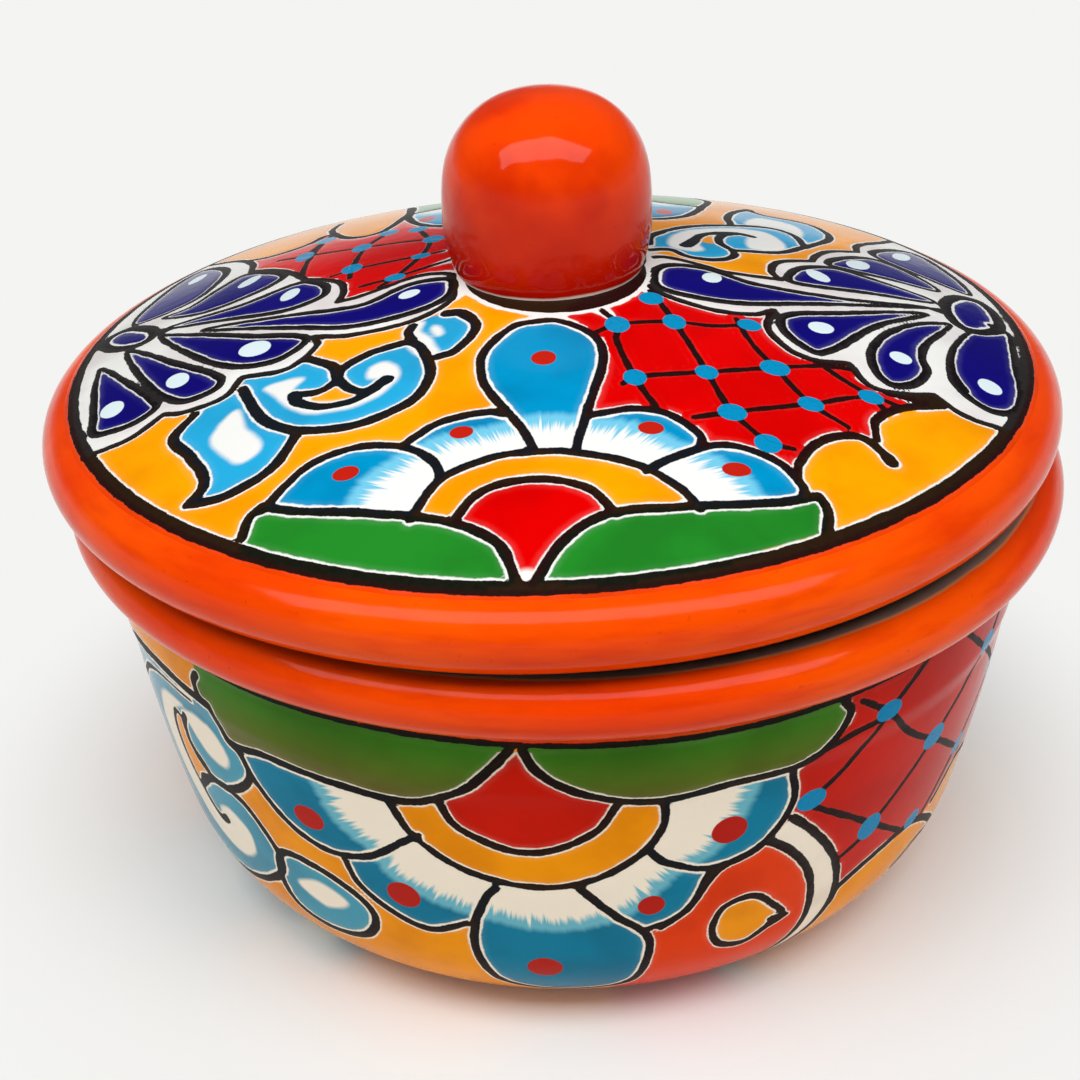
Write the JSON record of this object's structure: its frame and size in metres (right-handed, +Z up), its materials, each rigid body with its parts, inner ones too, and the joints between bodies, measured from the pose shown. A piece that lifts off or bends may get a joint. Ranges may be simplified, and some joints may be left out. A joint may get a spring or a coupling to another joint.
{
  "type": "tortilla warmer",
  "caption": "Round glazed earthenware bowl with a thick rolled rim and a loose domed lid with a ball knob, for keeping tortillas warm at the table.",
  "frame": {"origin": "centre of the bowl's flat foot, on the surface it stands on", "axes": "+Z up along the bowl's axis, -Y to the front, -X to the side that the lid has slid to"},
  "size_m": [0.2526, 0.25, 0.1968],
  "materials": {
    "bowl_glaze": "glossy hand-painted glaze, orange rim over many-coloured wall",
    "lid_glaze": "glossy hand-painted glaze, orange rim round many-coloured dome",
    "orange_glaze": "glossy orange glaze",
    "dark_clay": "satin dark slip over earthenware"
  },
  "bodies": {
    "bowl": {"bowl": "bowl_glaze"},
    "lid": {"lid": "lid_glaze", "knob": "orange_glaze", "locating_ring": "dark_clay"}
  },
  "joints": [
    {"name": "lid_lift", "type": "slide", "parent": "bowl", "child": "lid", "axis": [0, 0, 1], "range_m": [0, 0.12]}
  ]
}
